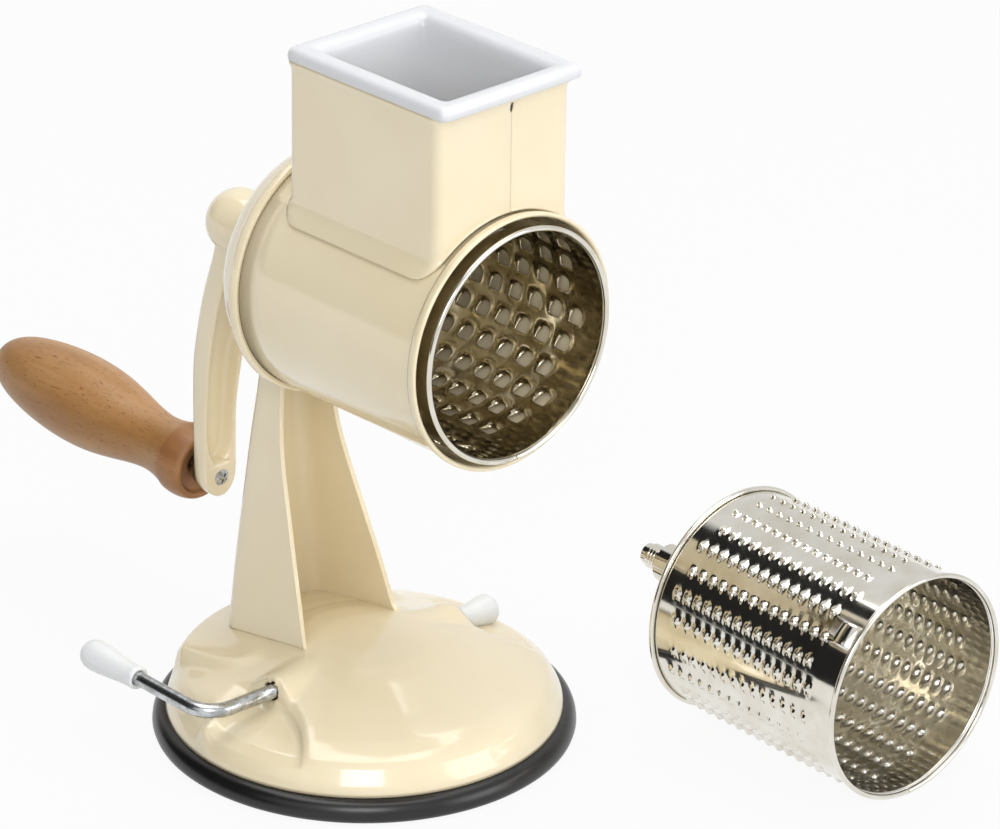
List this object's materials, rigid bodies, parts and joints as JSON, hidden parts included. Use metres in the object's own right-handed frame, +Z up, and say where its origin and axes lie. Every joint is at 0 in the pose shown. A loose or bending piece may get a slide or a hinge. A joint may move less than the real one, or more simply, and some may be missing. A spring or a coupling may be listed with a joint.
{
  "type": "rotary drum grater",
  "caption": "Hand-cranked drum grater: square hopper over a sideways drum housing, pressed column on a domed suction foot with cam lever, turned wood handle, spare drum.",
  "frame": {"origin": "centre of the rubber foot, on the table", "axes": "+Z up; the drum mouth faces -Y and the crank +Y; the lever axle runs along X"},
  "size_m": [0.1967, 0.3187, 0.2266],
  "materials": {
    "cream": "gloss",
    "rubber": "satin",
    "zinc": "satin",
    "tinned": "polished",
    "white_plastic": "gloss",
    "clear_plastic": "gloss",
    "wood": "satin"
  },
  "bodies": {
    "stand": {"base_dome": "cream", "suction_ring": "rubber", "column": "cream", "column_rivets": "zinc", "cover_rivets": "zinc", "bearing_bush": "zinc", "back_cover": "cream", "drum_housing": "cream", "hopper": "cream"},
    "pad": {"suction_disc": "rubber", "stem_plate": "zinc", "pad_stem": "zinc"},
    "lever": {"lever_rod": "zinc", "lever_grip_left": "clear_plastic", "lever_grip_right": "clear_plastic", "lever_lobe": "zinc"},
    "lip": {"hopper_lip": "white_plastic"},
    "crank": {"crank_arm": "cream", "handle_screw": "zinc", "handle_washer": "zinc"},
    "grip": {"handle": "wood"},
    "drum": {"coarse_drum": "tinned", "coarse_back": "tinned", "coarse_shaft": "tinned", "coarse_front_rim": "tinned", "coarse_back_rim": "tinned"},
    "spare": {"fine_drum": "tinned", "fine_back": "tinned", "fine_shaft": "tinned", "fine_front_rim": "tinned", "fine_back_rim": "tinned"}
  },
  "joints": [
    {"name": "lever_turn", "type": "hinge", "parent": "stand", "child": "lever", "pos_m": [0, 0, 0.0224], "axis": [0.9994, 0, -0.0356], "range_deg": [0, 90]},
    {"name": "pad_lift", "type": "slide", "parent": "stand", "child": "pad", "axis": [0, 0, 1], "range_m": [0, 0.00191]},
    {"name": "lip_lift", "type": "slide", "parent": "stand", "child": "lip", "axis": [0, 0, 1], "range_m": [0, 0.03]},
    {"name": "crank_turn", "type": "hinge", "parent": "stand", "child": "crank", "pos_m": [0, 0.045, 0.14825], "axis": [0, 1, 0], "continuous": true},
    {"name": "grip_turn", "type": "hinge", "parent": "crank", "child": "grip", "pos_m": [0, 0.0736, 0.0593], "axis": [0, 0.9988, 0.0499], "continuous": true},
    {"name": "drum_out", "type": "slide", "parent": "crank", "child": "drum", "axis": [0, -1, 0], "range_m": [0, 0.12]},
    {"name": "spare_lift", "type": "slide", "parent": "stand", "child": "spare", "axis": [0, 0, 1], "range_m": [0, 0.1]}
  ],
  "couplings": [
    {"joint": "pad_lift", "follows": "lever_turn", "m_per_rad": 0.0012154}
  ]
}
